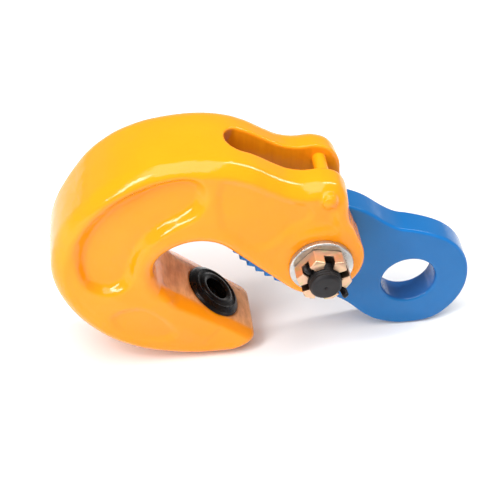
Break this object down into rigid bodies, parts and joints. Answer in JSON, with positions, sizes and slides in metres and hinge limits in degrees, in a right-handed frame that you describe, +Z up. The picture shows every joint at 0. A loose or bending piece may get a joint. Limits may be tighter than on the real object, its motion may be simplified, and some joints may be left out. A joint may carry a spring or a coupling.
{
  "type": "plate lifting clamp",
  "caption": "Forged C-shaped lifting clamp: a toothed cam lever with a shackle eye swings on a bolt and grips a steel plate against a round anvil.",
  "frame": {"origin": "on the ground, under the centre of the clamp as it stands on its sole with the lever's eye down", "axes": "+X from the curved back towards the shackle eye, +Y from the nut to the bolt's head, +Z up"},
  "size_m": [0.2109, 0.084, 0.1316],
  "materials": {
    "body_paint": "gloss yellow-orange enamel over a forging",
    "lever_paint": "satin blue enamel over forged steel",
    "black_steel": "blackened, turned",
    "zinc_plate": "bright zinc plating, satin",
    "yellow_zinc": "yellow zinc plating, satin",
    "pin_black": "blackened wire",
    "anvil_black": "hardened and blackened, satin"
  },
  "bodies": {
    "body": {"clamp_body": "body_paint", "pivot_bolt": "black_steel", "nut_washer": "zinc_plate", "head_washer": "zinc_plate", "castle_nut": "yellow_zinc", "split_pin": "pin_black", "stop_pin": "body_paint", "jaw_anvil": "anvil_black", "anvil_screw": "anvil_black"},
    "lever": {"cam_lever": "lever_paint"}
  },
  "joints": [
    {"name": "lever_pivot", "type": "hinge", "parent": "body", "child": "lever", "pos_m": [0.0238, 0, 0.0672], "axis": [0, -1, 0], "range_deg": [-18, 70]}
  ]
}
